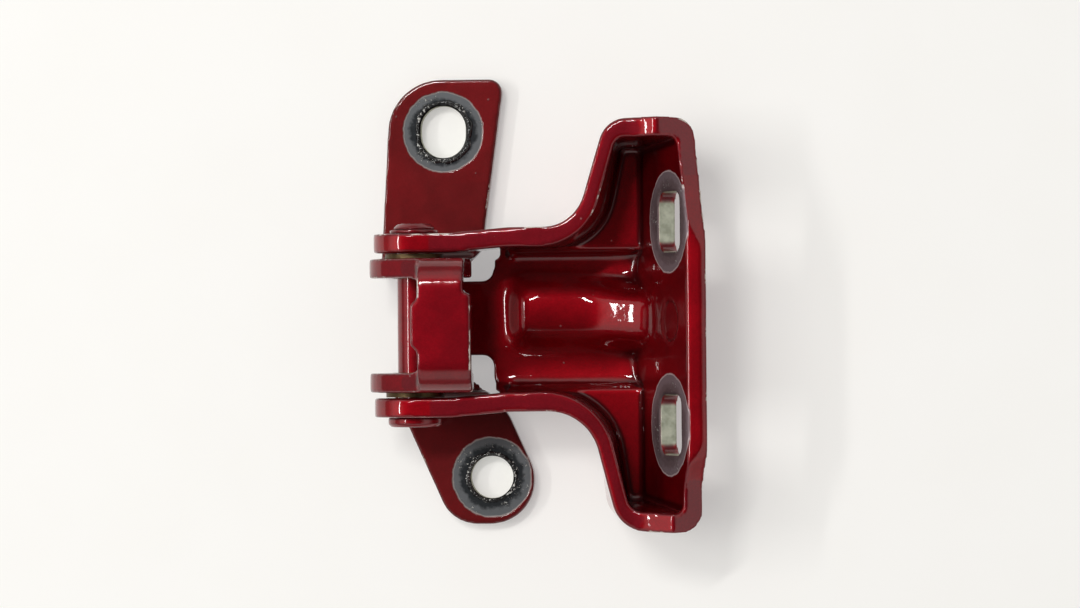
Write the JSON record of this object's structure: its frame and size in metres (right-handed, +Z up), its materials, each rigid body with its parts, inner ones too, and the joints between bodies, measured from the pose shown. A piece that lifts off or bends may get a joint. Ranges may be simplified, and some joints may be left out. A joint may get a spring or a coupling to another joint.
{
  "type": "car door hinge",
  "caption": "Pressed-steel car door hinge: slanted body plate with two arms, folded door leaf with two bolt ears, riveted pin and bushes.",
  "frame": {"origin": "middle of the bounding box's underside, on the plane of the door leaf's ears and the body leaf's floor", "axes": "+Y along the hinge pin towards its riveted end, +X from the pin to the slanted body plate, +Z up from the ears to the door leaf's web"},
  "size_m": [0.0782, 0.105, 0.0376],
  "materials": {
    "leaf_paint": "candy red metallic coat over pressed steel, gloss, chipped at edges",
    "pin_paint": "same red coat over a forged steel pin, thinner and rubbed",
    "bush_bronze": "dull sintered bronze with oil"
  },
  "bodies": {
    "body_side": {"body_leaf": "leaf_paint", "hinge_pin": "pin_paint", "rivet_washer": "pin_paint"},
    "door_side": {"door_leaf": "leaf_paint", "upper_bush": "bush_bronze", "lower_bush": "bush_bronze"}
  },
  "joints": [
    {"name": "door_swing", "type": "hinge", "parent": "body_side", "child": "door_side", "pos_m": [-0.0287, -0.00473, 0.0185], "axis": [0, 1, 0], "range_deg": [-4, 86]}
  ]
}
